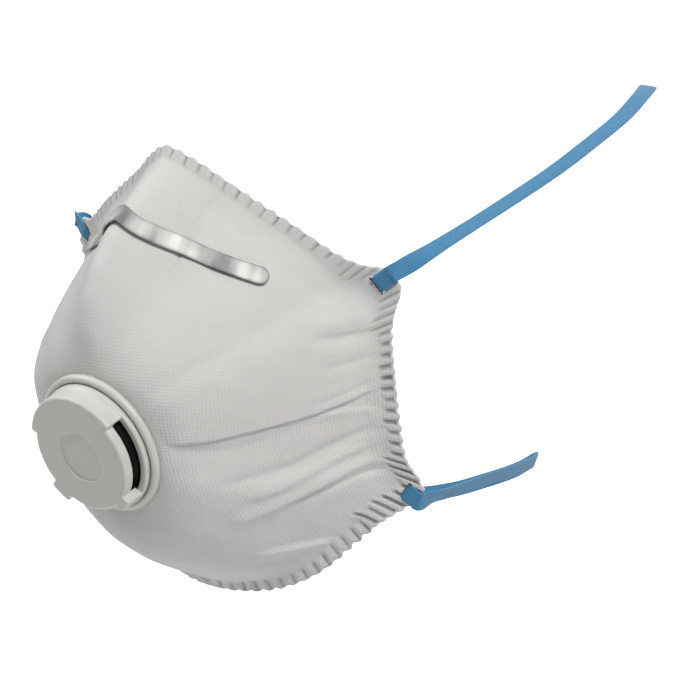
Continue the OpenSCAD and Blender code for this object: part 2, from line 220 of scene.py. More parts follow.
def folds(skin):
    """The cup's folds, and a faint unevenness, as heights along the surface's normals."""
    a, b = skin.thread()
    h = np.zeros(a.shape)
    for height, above, below, line in FOLDS:
        h += np.where(a > 0, fold(a, b, height, above, below, line),
                      LEFT_SHARE * fold(-a, b + LEFT_DROP, height, above, below, line))
    h += 0.10 * np.sin(a / 5.1 + 0.8 * np.sin(b / 7.3)) * np.sin(b / 6.2 + np.sin(a / 9.7))
    h += 0.05 * np.sin(a / 2.3 + b / 3.1) * np.sin(b / 2.7 - a / 4.4)
    s = skin.s[:, None]
    return h * smooth(0.0, 0.12, s) * (1 - smooth(1.0, 1.25, s))


CRIMP_BLEND = 0.006    # how far round the rim one kind of crimp takes over from the next
# The border's crimps, by how far round the rim they lie (the nose is 0, the chin 0.5): the kind,
# how far apart they are, how deep, how far in from the edge they reach, and the edge's scallops.
CRIMPS = [(0.000, 0.120, "slit", 4.3, 0.60, 3.2, 0.28), (0.120, 0.205, "pleat", 3.1, 0.50, 7.0, 0.22),
          (0.205, 0.285, "pocket", 3.3, 0.75, 4.4, 0.30), (0.285, 0.375, "pocket", 3.2, 0.70, 7.5, 0.30),
          (0.375, 0.500, "rope", 4.1, 1.0, 5.2, 0.42)]


def crimps(skin):
    """The crimped border: heights along the normals, shifts outwards at the edge, and how far the fabric
    is darkened as painted shade in the crimps' hollows."""
    step = np.linalg.norm(np.diff(np.vstack([skin.edge, skin.edge[:1]]), axis=0), axis=1)
    arc = np.concatenate([[0], np.cumsum(step)[:-1]])
    arc = np.minimum(arc, step.sum() - arc)[None, :]
    half = np.minimum(skin.u, 1 - skin.u)[None, :]
    along = np.cumsum(np.linalg.norm(np.diff(skin.points, axis=0), axis=2), axis=0)
    inward = np.vstack([along[-1:], along[-1:] - along])
    height, shift, dark = np.zeros(inward.shape), np.zeros(inward.shape), np.zeros(inward.shape)
    for first, last, kind, pitch, depth, reach, scallop in CRIMPS:
        share = 1 - smooth(last - CRIMP_BLEND, last + CRIMP_BLEND, half)
        if first > 0:
            share = smooth(first - CRIMP_BLEND, first + CRIMP_BLEND, half) * share
        turn = arc / pitch + (0.10 * inward if kind == "rope" else 0)
        number = np.floor(turn).astype(int)
        f = turn - number - 0.5
        vary = rng.uniform(0.7, 1.15, 400)[number % 400]
        length = reach * rng.uniform(0.8, 1.1, 400)[number % 400]
        fade = 1 - smooth(length - 1.2, length + 0.8, inward)
        if kind == "slit":
            mark = np.exp(-(f * pitch / 0.42) ** 2) * smooth(0, 0.5, inward)
            h = -depth * vary * mark + 0.14 * np.cos(2 * np.pi * f) + 0.14
        elif kind == "pleat":
            mark = np.exp(-(f * pitch / 0.42) ** 2)
            h = -depth * vary * mark + 0.12 * np.cos(4 * np.pi * f)
        elif kind == "pocket":
            mark = smooth(0.3, 0.9, 0.5 + 0.5 * np.cos(2 * np.pi * f)) * smooth(0.4, 1.4, inward)
            h = 0.25 - depth * vary * mark
        else:
            mark = 1 - np.abs(np.cos(np.pi * f)) ** 0.6
            h = depth * vary * (np.abs(np.cos(np.pi * f)) ** 0.7 - 0.55)
        height += share * fade * h
        # The dark share is painted shade in the hollows of the slits, pleats, pockets and rope.
        dark += share * fade * mark * vary
        shift += share * scallop * np.cos(2 * np.pi * (arc / pitch - 0.5)) * -np.ones(inward.shape)
    near_edge = 1 - smooth(0.5, 2.5, inward)
    shift = shift * near_edge + 0.12 * np.sin(arc * 1.7) * near_edge
    return height, shift, dark


PINCH_FROM = 0.75


def pinch(s):
    """The share of the middle layers' thickness left at row s: they are squeezed at the border."""
    past = (s - PINCH_FROM) / (1 - PINCH_FROM)
    return np.where(s < PINCH_FROM, 1.0, np.maximum(0, 1 - past ** 2))[:, None]


# ---------------------------------------------------------------- meshes and materials
def mesh_piece(name, points, faces, material, body, nodes, threads=None):
    """A smooth mesh of points in millimetres, riding on a body in place of its CAD nodes. Its
    threads are where each point lies along and across the cloth or band, for the weave."""
    mesh = bpy.data.meshes.new(name)
    mesh.from_pydata((np.asarray(points) * MM).tolist(), [], [list(f) for f in faces])
    mesh.polygons.foreach_set("use_smooth", np.ones(len(mesh.polygons), bool))
    if threads is not None:
        layer = mesh.attributes.new("thread", "FLOAT_VECTOR", "POINT")
        layer.data.foreach_set("vector", np.asarray(threads, np.float32).ravel())
    mesh.update()
    piece = bpy.data.objects.new(name, mesh)
    bpy.context.scene.collection.objects.link(piece)
    mesh.materials.append(material)
    if nodes:
        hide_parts(*nodes)
    if body:
        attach(piece, body)
    return piece


def grid_faces(rows, columns, closed_rows=True):
    """Quads of a grid whose columns go round, and whose rows close on themselves if asked."""
    j = np.arange(rows if closed_rows else rows - 1)[:, None]
    k = np.arange(columns)[None, :]
    a, b = j * columns + k, j * columns + (k + 1) % columns
    c, d = ((j + 1) % rows) * columns + (k + 1) % columns, ((j + 1) % rows) * columns + k
    return np.stack([a, b, c, d], -1).reshape(-1, 4)


class Material:
    """A node material with a Principled shader, and short ways to add nodes to it."""

    def __init__(self, name, **settings):
        self.material = bpy.data.materials.new(name)
        self.material.use_nodes = True
        self.tree = self.material.node_tree
        self.shader = self.tree.nodes["Principled BSDF"]
        for key, value in settings.items():
            self.shader.inputs[key.replace("_", " ")].default_value = value

    def node(self, kind, inputs=None, **settings):
        made = self.tree.nodes.new("ShaderNode" + kind)
        for key, value in settings.items():
            setattr(made, key, value)
        for key, value in (inputs or {}).items():
            if isinstance(value, bpy.types.NodeSocket):
                self.tree.links.new(value, made.inputs[key])
            else:
                made.inputs[key].default_value = value
        return made

    def thread(self):
        """Where a point lies along and across the cloth or band, in millimetres."""
        return self.node("Attribute", attribute_name="thread").outputs["Vector"]

    def math(self, operation, *values):
        return self.node("Math", dict(enumerate(values)), operation=operation).outputs[0]

    def colour(self, low, high, share):
        """Mixes two colours by share."""
        mix = self.node("Mix", {0: share, 6: (*low, 1), 7: (*high, 1)}, data_type="RGBA")
        self.tree.links.new(mix.outputs[2], self.shader.inputs["Base Color"])
        return mix

    def bump(self, height, distance, strength=1.0, under=None):
        made = self.node("Bump", {"Strength": strength, "Distance": distance, "Height": height})
        if under is not None:
            self.tree.links.new(under.outputs[0], made.inputs["Normal"])
        self.tree.links.new(made.outputs[0], self.shader.inputs["Normal"])
        return made

    def rough(self, value):
        """Drives the roughness."""
        self.tree.links.new(value, self.shader.inputs["Roughness"])

    def object_place(self):
        return self.node("TexCoord").outputs["Object"]

    def noise(self, scale, detail=3.0, place=None):
        inputs = {"Scale": scale, "Detail": detail, "Vector": place or self.object_place()}
        return self.node("TexNoise", inputs).outputs[0]


def linear(r, g, b):
    """A colour given as it is seen, 0 to 255, as the linear values that a shader takes."""
    return tuple(((c / 255 + 0.055) / 1.055) ** 2.4 for c in (r, g, b))


def fabric(name, light, dark, crimp_shade_colour, pitch, emboss):
    """Moulded non-woven cloth: a fine embossed grid that follows the flat fabric, and fibres. The
    grid repeats every pitch and is emboss deep, in millimetres, and fades towards the nose."""
    m = Material(name, Roughness=0.88, Sheen_Weight=0.12, Sheen_Roughness=0.6)
    place = m.thread()
    wander = m.node("TexNoise", {"Vector": place, "Scale": 0.25, "Detail": 2.0}).outputs[1]
    moved = m.node("VectorMath", {0: wander, 1: (1.2, 1.2, 0)}, operation="MULTIPLY").outputs[0]
    place_moved = m.node("VectorMath", {0: place, 1: moved}, operation="ADD").outputs[0]
    split = m.node("SeparateXYZ", {0: place_moved})
    turns = 2 * math.pi / pitch
    across = m.math("SINE", m.math("MULTIPLY", split.outputs[0], turns))
    up = m.math("SINE", m.math("MULTIPLY", split.outputs[1], turns * 1.06))
    dimples = m.math("MULTIPLY", m.math("ADD", across, 1.0), m.math("ADD", up, 1.0))
    grid = m.math("MULTIPLY", dimples, 0.25)
    patch = m.node("TexNoise", {"Vector": place, "Scale": 0.06, "Detail": 2.0}).outputs[0]
    high = m.node("MapRange", {0: split.outputs[1], 1: 0.0, 2: 45.0, 3: 1.0, 4: 0.35})
    grid = m.math("MULTIPLY", grid, m.math("MULTIPLY", m.math("ADD", patch, 0.35), high.outputs[0]))
    fine = {"Vector": place, "Scale": 3.2, "Detail": 5.0, "Roughness": 0.65}
    fibres = m.node("TexNoise", fine).outputs[0]
    first = m.bump(grid, emboss * MM)
    m.bump(fibres, 0.05 * MM, 0.6, under=first)
    blotch = m.node("TexNoise", {"Vector": place, "Scale": 0.09, "Detail": 3.0}).outputs[0]
    # The blotches are random tone; the grid's pits are darker as painted shade in the weave.
    share = m.math("ADD", m.math("MULTIPLY", blotch, 0.5), m.math("MULTIPLY", grid, 0.22))
    cloth = m.colour(dark, light, share)
    # The third thread value mixes in the darker crimp colour: painted shade in the hollows of the
    # border's crimps.
    dark_share = {0: split.outputs[2], 1: 0.8}
    crimp_shade_share = m.node("Math", dark_share, operation="MULTIPLY", use_clamp=True).outputs[0]
    mix = m.node("Mix", {0: crimp_shade_share, 6: cloth.outputs[2], 7: (*crimp_shade_colour, 1)}, data_type="RGBA")
    m.tree.links.new(mix.outputs[2], m.shader.inputs["Base Color"])
    m.rough(m.math("ADD", m.math("MULTIPLY", fibres, 0.14), 0.8))
    return m.material


def plastic(name, light, dark, roughness=0.42):
    """Moulded plastic with a faint unevenness and a soft shine."""
    m = Material(name, Coat_Weight=0.08, Coat_Roughness=0.35)
    grain = m.noise(900, 4)
    cloud = m.noise(60, 3)
    first = m.bump(cloud, 0.12 * MM, 0.5)
    m.bump(grain, 0.012 * MM, 0.5, under=first)
    m.colour(dark, light, cloud)
    m.rough(m.math("ADD", m.math("MULTIPLY", grain, 0.12), roughness - 0.06))
    return m.material


def metal(name):
    """Rolled aluminium with fine lines along the strip and a few dull patches."""
    m = Material(name, Metallic=1.0)
    place = m.thread()
    stretched = m.node("VectorMath", {0: place, 1: (0.12, 5.0, 1.0)}, operation="MULTIPLY").outputs[0]
    lines = m.node("TexNoise", {"Vector": stretched, "Scale": 1.5, "Detail": 5.0}).outputs[0]
    patches = m.node("TexNoise", {"Vector": place, "Scale": 0.35, "Detail": 4.0}).outputs[0]
    wide = m.node("VectorMath", {0: place, 1: (1.0, 0.35, 0.2)}, operation="MULTIPLY").outputs[0]
    zones = m.node("TexNoise", {"Vector": wide, "Scale": 0.14, "Detail": 2.0}).outputs[0]
    zones = m.node("MapRange", {0: zones, 1: 0.36, 2: 0.62, 3: 0.0, 4: 1.0}).outputs[0]
    tone = m.math("ADD", m.math("MULTIPLY", zones, 0.75), m.math("MULTIPLY", lines, 0.3))
    first = m.bump(patches, 0.10 * MM, 0.7)
    m.bump(lines, 0.015 * MM, 0.7, under=first)
    m.colour(linear(96, 98, 98), linear(166, 165, 162), tone)
    m.rough(m.math("ADD", m.math("MULTIPLY", lines, 0.16), 0.5))
    return m.material


def elastic(name):
    """Blue woven elastic: ribs along the band, and the weft's fine bars across it."""
    m = Material(name, Roughness=0.75, Sheen_Weight=0.2, Sheen_Roughness=0.5)
    place = m.thread()
    split = m.node("SeparateXYZ", {0: place})
    ribs = m.math("ABSOLUTE", m.math("SINE", m.math("MULTIPLY", split.outputs[1], math.pi / 0.55)))
    bars = m.math("SINE", m.math("MULTIPLY", split.outputs[0], 2 * math.pi / 0.62))
    offset = m.math("SINE", m.math("MULTIPLY", split.outputs[1], 2 * math.pi / 1.1))
    weft = m.math("MULTIPLY", bars, offset)
    height = m.math("ADD", ribs, m.math("MULTIPLY", weft, 0.35))
    fuzz = m.node("TexNoise", {"Vector": place, "Scale": 2.6, "Detail": 5.0}).outputs[0]
    first = m.bump(height, 0.10 * MM)
    m.bump(fuzz, 0.06 * MM, 0.7, under=first)
    # The grooves between ribs and weft bars are darker as painted shade; the fuzz is random tone.
    share = m.math("ADD", m.math("MULTIPLY", height, 0.35), m.math("MULTIPLY", fuzz, 0.5))
    m.colour(linear(46, 112, 156), linear(82, 156, 200), share)
    return m.material


def foam(name):
    """Soft foam with open cells."""
    m = Material(name, Roughness=0.95)
    cells = m.node("TexVoronoi", {"Vector": m.object_place(), "Scale": 1400.0}).outputs[0]
    soft = m.noise(500, 4)
    first = m.bump(cells, 0.25 * MM)
    m.bump(soft, 0.10 * MM, 0.6, under=first)
    # The cells' hollows are darker as painted shade.
    m.colour(linear(150, 152, 154), linear(196, 198, 200), cells)
    return m.material


def rubber(name):
    """Black silicone rubber, almost without shine."""
    m = Material(name, Specular_IOR_Level=0.1)
    grain = m.noise(700, 4)
    m.bump(grain, 0.02 * MM, 0.6)
    m.colour((0.001, 0.001, 0.001), (0.004, 0.004, 0.004), grain)
    m.rough(m.math("ADD", m.math("MULTIPLY", grain, 0.2), 0.5))
    return m.material


# The third colour of each fabric is the painted shade in its crimps' hollows.
OUTER = fabric("outer_fabric", linear(232, 230, 227), linear(216, 214, 211),
               linear(150, 149, 145), pitch=1.0, emboss=0.12)
INNER = fabric("inner_fabric", linear(236, 235, 232), linear(222, 221, 218),
               linear(196, 195, 192), pitch=0.8, emboss=0.06)
MAT = fabric("filter_fabric", linear(238, 237, 234), linear(226, 225, 222),
             linear(200, 199, 196), pitch=1.3, emboss=0.1)
WHITE = plastic("valve_plastic", linear(214, 213, 208), linear(205, 204, 198))
DARK = rubber("flap_rubber")
CLIP = metal("clip_metal")
BLUE = elastic("strap_elastic")
FOAM = foam("nose_foam")


# ---------------------------------------------------------------- the four layers of the cup
AROUND = 1300  # points round the layers that show
HIDDEN_AROUND = 300


def cup_layer(name, rows, hidden_rows, outer, inner, front_shows, material, around=AROUND):
    """A closed sheet of the cup between two depths, each a function of the rows. Its showing face
    has all the rows, and its hidden face a few."""
    u = np.arange(around) / around
    front_rows, back_rows = (rows, hidden_rows) if front_shows else (hidden_rows, rows)
    faces_of = []
    for row_set, depth in ((front_rows, outer), (back_rows, inner)):
        skin = Skin(u, row_set)
        crimp, shift, dark = crimps(skin)
        a, b = skin.thread()
        border = skin.s[:, None] > 1
        h = depth(skin.s) + folds(skin) + crimp * (1 if row_set[-1] > 1 else 0)
        radial = np.stack([skin.out[:, 0], np.zeros(around), skin.out[:, 1]], 1)
        points = skin.points + h[..., None] * skin.normals
        points = points + shift[..., None] * radial * border[..., None]
        # The third thread value is how far the crimps are darkened with painted shade.
        faces_of.append((points, np.stack([a, b, dark], -1)))
    (front, front_thread), (back, back_thread) = faces_of
    points = np.concatenate([front, back[::-1]])
    threads = np.concatenate([front_thread, back_thread[::-1]])
    faces = grid_faces(len(points), around)
    return mesh_piece(name, points.reshape(-1, 3), faces, material, "mask", [name],
                      threads.reshape(-1, 3))


def rounded_edge(s, depth, towards):
    """Rounds a face over to the middle of the border's thickness at the outer edge."""
    close = np.clip((s - 1.93) / 0.07, 0, 1)
    return depth + towards * (1 - np.sqrt(1 - close**2))


def column(values):
    """Values by row, to add to a grid of rows."""
    return np.asarray(values, float)[:, None]


cup_rows = np.concatenate([[-1, -0.5, 0], np.linspace(0.02, 1, 100)])
border_rows = 1 + np.concatenate([np.linspace(0.04, 0.92, 20), [0.95, 0.97, 0.985, 0.995, 1]])
ALL_ROWS = np.concatenate([cup_rows, border_rows])
few_border_rows = 1 + np.array([0.15, 0.3, 0.5, 0.7, 0.85, 0.95, 1])
FEW_ROWS = np.concatenate([[-1, 0], np.linspace(0.08, 1, 24), few_border_rows])
MIDDLE_ROWS = np.concatenate([[-1, 0], np.linspace(0.06, 0.975, 26)])

outer_cover = cup_layer(
    "outer_cover", ALL_ROWS, FEW_ROWS,
    lambda s: column(rounded_edge(s, 0, -0.45)), lambda s: column(0 * s - COVER_THICK),
    True, OUTER)
cup_layer("support_shell", MIDDLE_ROWS, MIDDLE_ROWS,
          lambda s: column(0 * s - COVER_THICK - LAYER_GAP),
          lambda s: -COVER_THICK - LAYER_GAP - pinch(s) * SHELL_THICK,
          True, MAT, HIDDEN_AROUND)
cup_layer("filter_layer", MIDDLE_ROWS, MIDDLE_ROWS,
          lambda s: -COVER_THICK - LAYER_GAP - pinch(s) * (SHELL_THICK + LAYER_GAP),
          lambda s: -COVER_THICK - LAYER_GAP - pinch(s) * (SHELL_THICK + LAYER_GAP + FILTER_THICK),
          True, MAT, HIDDEN_AROUND)
inner_liner = cup_layer(
    "inner_liner", ALL_ROWS, FEW_ROWS,
    lambda s: -COVER_THICK - LAYER_GAP - pinch(s) * MIDDLE,
    lambda s: column(rounded_edge(s, -COVER_THICK - LAYER_GAP - LINER_THICK, 0.4)) - pinch(s) * MIDDLE,
    False, INNER)


# ---------------------------------------------------------------- bands: clip, foam and straps
def unit(v):
    return v / np.linalg.norm(v, axis=-1, keepdims=True)


def section(width, thick, edge, crown, count=9):
    """Half-widths and heights round a band's cross-section, with round edges and a crowned face."""
    turn = np.linspace(0, 2 * np.pi, 4 * count, endpoint=False)
    x = np.sign(np.cos(turn)) * np.abs(np.cos(turn)) ** edge
    z = np.sign(np.sin(turn)) * np.abs(np.sin(turn)) ** edge
    return x * width / 2, z * thick / 2 + crown * (1 - x**2)


def band(name, path, outward, widths, thicks, material, body, nodes, edge=0.5, crown=0.0):
    """A band swept along a path in millimetres, closed at both ends."""
    path, outward = np.asarray(path, float), np.asarray(outward, float)
    along = unit(np.gradient(path, axis=0))
    across = unit(np.cross(along, outward))
    face = np.cross(across, along)
    passed = np.concatenate([[0], np.cumsum(np.linalg.norm(np.diff(path, axis=0), axis=1))])
    rings, threads = [], []
    for p, w, n, width, thick, run in zip(path, across, face, widths, thicks, passed):
        x, z = section(width, thick, edge, crown)
        rings.append(p + x[:, None] * w + z[:, None] * n)
        threads.append(np.stack([np.full(len(x), run), x, z], 1))
    columns = len(rings[0])
    points = np.concatenate(rings)
    faces = [tuple(f[::-1]) for f in grid_faces(len(rings), columns, False)]
    last = (len(rings) - 1) * columns
    faces += [tuple(range(columns)), tuple(range(last + columns - 1, last - 1, -1))]
    return mesh_piece(name, points, faces, material, body, nodes, np.concatenate(threads))


def on_cup(u, s):
    """Points of the folded cup and its outward directions, for pieces that lie on it."""
    points, normals = [], []
    for ui, si in zip(u, s):
        rows = si + np.array([-0.004, 0, 0.004])
        skin = Skin(ui + np.array([-0.002, 0, 0.002]), rows)
        points.append(skin.points[1, 1])
        normals.append(skin.normals[1, 1])
    return np.array(points), np.array(normals)


CLIP_U, CLIP_ROW, CLIP_END_ROW, CLIP_DIP = 0.095, 0.795, 0.84, 0.24
CLIP_WIDTH, CLIP_THICK, CLIP_GAP = 5.0, 0.8, 0.5
CLIP_ROUND_FROM = 0.945  # the share of each half where its round end starts
FOAM_U, FOAM_ROW, FOAM_WIDTH, FOAM_THICK, FOAM_GAP = 0.085, 0.86, 11, 4.0, 0.45


def nose_clip():
    """The metal strip over the nose: it sags between the nose and each end, with a slight kink."""
    t = np.sin(np.linspace(-np.pi / 2, np.pi / 2, 181))
    far = np.abs(t)
    rows = CLIP_ROW + (CLIP_END_ROW - CLIP_ROW) * far - CLIP_DIP * far * (1 - far)
    points, normals = on_cup(t * CLIP_U, rows)
    kink = -0.3 * np.exp(-((far - 0.60) / 0.08) ** 2) + 0.15 * np.exp(-((far - 0.46) / 0.1) ** 2)
    path = points + normals * (CLIP_GAP + CLIP_THICK / 2 + kink)[:, None]
    normals = unit(normals + np.roll(normals, 1, 0) + np.roll(normals, -1, 0))
    end = np.clip((far - CLIP_ROUND_FROM) / (1 - CLIP_ROUND_FROM), 0, 1)
    widths = CLIP_WIDTH * np.sqrt(np.maximum(1 - end**2, 0.004))
    thicks = CLIP_THICK * (1 - 0.4 * end**6)
    band("nose_clip", path, normals, widths, thicks, CLIP, "mask", ["nose_clip"],
         edge=0.35, crown=0.12)


def nose_foam():
    """The pad inside, under the clip, thinner and narrower towards its ends."""
    count = 61
    t = np.linspace(-1, 1, count)
    points, normals = on_cup(t * FOAM_U, np.full(count, FOAM_ROW))
    drop = COVER_THICK + LAYER_GAP + MIDDLE + LINER_THICK + FOAM_GAP + FOAM_THICK / 2
    normals = unit(sum(np.roll(normals, k, 0) for k in (-1, 0, 1)))
    end = np.abs(t) ** 14
    widths = FOAM_WIDTH * (1 - 0.35 * np.abs(t) ** 4) * (1 - 0.5 * end)
    thicks = FOAM_THICK * (1 - 0.55 * end)
    piece = band("nose_foam", points - normals * drop, normals, widths, thicks, FOAM, "mask",
                 ["nose_foam"], edge=0.6)


# Routes of the two loops, from the +X tab to the -X tab, as in the CAD model, but that the upper
# band hangs a little lower beside its far tab
UPPER_ROUTE = [(60, 14, 33), (64, 25, 36.7), (69, 42, 41.8), (73, 62, 47), (74, 80, 51),
               (73, 98, 54), (69, 115, 56), (63, 129, 55), (55, 140, 51), (46, 146, 43),
               (37, 149, 35), (27, 147, 27), (12, 141, 15), (-3, 131, 4), (-17, 118, -6.5),
               (-30, 103, -13), (-42, 85, -9), (-51, 64, 4), (-55, 44, 16), (-57, 26, 23.6),
               (-58.2, 15, 28)]
LOWER_ROUTE = [(61, 16, -35.5), (59, 25, -38), (56, 40, -41.8), (53, 55, -45.5), (50, 70, -49.5),
               (46, 84, -53), (41.5, 93, -56), (34, 102, -61), (24, 107, -68), (12, 107, -74),
               (0, 103, -78.5), (-12, 97, -80), (-24, 87, -75), (-36, 72, -67), (-46, 56, -57),
               (-54, 38, -47), (-60, 20, -38)]
STRAP_WIDTH, STRAP_THICK = 5.0, 0.8
SLOT_ROW = 1.55
UPPER_U, LOWER_U = 0.16, 0.33
UPPER_EXIT, LOWER_EXIT = np.array([57.6, 7.5, 31.2]), np.array([60.8, 8.9, -34.0])
TURN_FROM, TURN_OVER = 10, 24  # behind the mask, a band turns its face over this distance
FAR_TURN_FROM, FAR_TURN_OVER = 7, 6  # and at the far side it does so sooner
TAB_HOLD, FAR_TAB_HOLD = 7, 3.5  # how far from its tabs the band still faces as they do
# The lap over a tab: its height, how much it lifts off at the tab's edge, and how far past that it is
LAP_TOP, LAP_RISE, LAP_PAST = 0.7, 0.5, 0.8
TAB_BACK = -COVER_THICK - LAYER_GAP - LINER_THICK
LAP_UNDER = TAB_BACK - 0.7
SLOT_CUT = np.array([1.3, STRAP_WIDTH + 0.5, 6.0])  # a slot's width and length, and the cut's depth


def tab(u, exit):
    """(slot, axes) of a tab: x runs from the slot to the exit at its edge, z out of its face."""
    points, normals = on_cup([u], [SLOT_ROW])
    slot, facing = points[0], normals[0]
    x = unit(exit - slot)
    y = unit(np.cross(facing, x))
    return slot, np.array([x, y, np.cross(x, y)])


def open_spline(points, per):
    """A Catmull-Rom curve through points, with about `per` millimetres between its own."""
    points = np.asarray(points, float)
    out = []
    for i in range(len(points) - 1):
        a, b = points[max(i - 1, 0)], points[i]
        c, d = points[i + 1], points[min(i + 2, len(points) - 1)]
        count = max(2, int(np.linalg.norm(c - b) / per))
        t = np.arange(count)[:, None] / count
        out.append(catmull_rom(a, b, c, d, t))
    return np.concatenate(out + [points[-1:]])


def strap(name, u, exit, route, centre, rise, nodes):
    """A band from inside one tab, out of its slot and over the tab, round its route, and into the
    other tab. Its face looks away from the line y = centre, and rises from rise[0] to rise[1]."""
    slot, axes = tab(u, exit)
    reach = np.linalg.norm(exit - slot) + LAP_PAST
    lap = np.array([(-6, LAP_UNDER), (-1.8, LAP_UNDER), (-0.7, LAP_UNDER + 0.35),
                    (0.5, LAP_TOP - 0.35), (1.4, LAP_TOP),
                    (reach - 1.6, LAP_TOP + 0.1), (reach - 0.3, LAP_TOP + LAP_RISE - 0.2)])
    start = slot + lap[:, :1] * axes[0] + lap[:, 1:] * axes[2]
    flip = np.array([-1, 1, 1])
    path = open_spline(np.concatenate([start, route, (start * flip)[::-1]]), 0.7)
    away = path - np.array([0, centre, 0])
    far = path[:, 0] < 0
    turn_from, turn_over = (np.where(far, *pair) for pair in ((FAR_TURN_FROM, TURN_FROM),
                                                               (FAR_TURN_OVER, TURN_OVER)))
    turned_share = (path[:, 1] - turn_from) / turn_over
    away[:, 2] = rise[0] + (rise[1] - rise[0]) * np.clip(turned_share, 0, 1)
    away = unit(away)
    for side, facing, hold in ((1, axes[2], TAB_HOLD), (-1, axes[2] * flip, FAR_TAB_HOLD)):
        place = slot * (side, 1, 1) + reach * axes[0] * (side, 1, 1)
        near = np.exp(-(np.linalg.norm(path - place, axis=1) / hold) ** 2)
        near = np.where((path[:, 1] < place[1] + 0.5) & (path[:, 0] * side > 0), 1, near)[:, None]
        away = unit(away * (1 - near) + facing * near)
    widths, thicks = (np.full(len(path), size) for size in (STRAP_WIDTH, STRAP_THICK))
    piece = band(name, path, away, widths, thicks, BLUE, None, nodes, edge=0.45)
    pivot = slot + reach * axes[0] + (LAP_TOP + LAP_RISE) * axes[2]
    start, end = ((0, (pivot[1] + past) * MM, pivot[2] * MM) for past in (-0.5, 6))
    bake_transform(piece)
    return slot, axes


def cut_slot(piece, slot, axes):
    """Cuts a strap's slot, and its mirror image, through a sheet of the cup."""
    for side in (1, -1):
        mesh = bpy.data.meshes.new("slot_cutter")
        signs = [(x, y, z) for x in (-1, 1) for y in (-1, 1) for z in (-1, 1)]
        corners = np.array(signs) * (SLOT_CUT / 2)
        points = (slot + corners @ axes) * (side, 1, 1)
        faces = [(0, 1, 3, 2), (4, 6, 7, 5), (0, 4, 5, 1), (2, 3, 7, 6), (0, 2, 6, 4), (1, 5, 7, 3)]
        mesh.from_pydata((points * MM).tolist(), [], faces if side == 1 else [f[::-1] for f in faces])
        cutter = bpy.data.objects.new("slot_cutter", mesh)
        bpy.context.scene.collection.objects.link(cutter)
        cut = piece.modifiers.new("slot", "BOOLEAN")
        cut.object, cut.operation, cut.solver = cutter, "DIFFERENCE", "FAST"
        depsgraph = bpy.context.evaluated_depsgraph_get()
        whole = bpy.data.meshes.new_from_object(piece.evaluated_get(depsgraph))
        piece.modifiers.remove(cut)
        piece.data = whole
        bpy.data.objects.remove(cutter)


nose_clip()
nose_foam()
for slot, axes in (strap("upper_strap", UPPER_U, UPPER_EXIT, UPPER_ROUTE, centre=80, rise=(35, 400),
                         nodes=["upper_strap", "upper_strap_ends"]),
                   strap("lower_strap", LOWER_U, LOWER_EXIT, LOWER_ROUTE, centre=60, rise=(-25, -25),
                         nodes=["lower_strap", "lower_strap_ends"])):
    cut_slot(outer_cover, slot, axes)
    cut_slot(inner_liner, slot, axes)


# ---------------------------------------------------------------- valve
# The valve is drawn facing +Z round its own middle, then stood on the cup.
VALVE = Matrix.Translation((0, -CUP_DEPTH, VALVE_Z)) @ Matrix.Rotation(math.pi / 2 + VALVE_TILT, 4, "X")
STACK = COVER_THICK + LAYER_GAP + MIDDLE + LINER_THICK
HEIGHT = 9.0           # of the cover's plate
WALL_R = FLAP_R + 5.6  # the closed wall
LIP_R = WALL_R - 1.8   # the plate over a vent
LIP_BOTTOM = 6.0
BASE_R = WALL_R + 0.5  # the ring that the cover stands on
BASE_TOP = 3.4
COVER_BOTTOM = 1.25
COVER_BORE = FLAP_R + 2.4
CEILING = HEIGHT - 1.0
DISH_R = 0.62 * FLAP_R
DISH_DEPTH = 0.55
VENTS = [(-37, 41), (-120, -51), (-197, -141)]  # in degrees round the valve
PILLARS = [(-51, -37), (-141, -120)]
CUT = 1.6              # the degrees over which the wall turns into a vent
BORE = FLAP_R - 1.2    # the seat's
TUBE_IN, TUBE_OUT = FLAP_R + 0.8, FLAP_R + 1.7
POLE = 0.01            # a profile stops this near to its axis


def arc(centre, radius, first, last, count=7):
    """Points of a rounded corner in a profile of (radius, height)."""
    turn = np.radians(np.linspace(first, last, count))
    return [(centre[0] + radius * math.cos(a), centre[1] + radius * math.sin(a)) for a in turn]


def in_valve(points):
    """Points given in the valve's own frame, stood on the cup."""
    turn = np.array(VALVE.to_3x3())
    return np.asarray(points) @ turn.T + np.array(VALVE.translation)


def turned(name, profile, material, nodes, body="mask", around=256):
    """A valve piece turned from a closed profile of (radius, height)."""
    profile = np.array(profile)
    turn = np.arange(around) / around * 2 * np.pi
    points = np.stack([profile[:, :1] * np.cos(turn), profile[:, :1] * np.sin(turn),
                       np.repeat(profile[:, 1:], around, 1)], -1)
    faces = grid_faces(len(profile), around)
    return mesh_piece(name, in_valve(points.reshape(-1, 3)), faces, material, body, nodes)


def share_between(angle, spans, blend):
    """1 inside any of the spans of degrees and 0 outside, turning over within `blend` degrees."""
    total = np.zeros(angle.shape)
    for first, last in spans:
        middle, reach = (first + last) / 2, (last - first) / 2
        away = np.abs((angle - middle + 180) % 360 - 180)
        total = np.maximum(total, 1 - smooth(reach - blend / 2, reach + blend / 2, away))
    return total


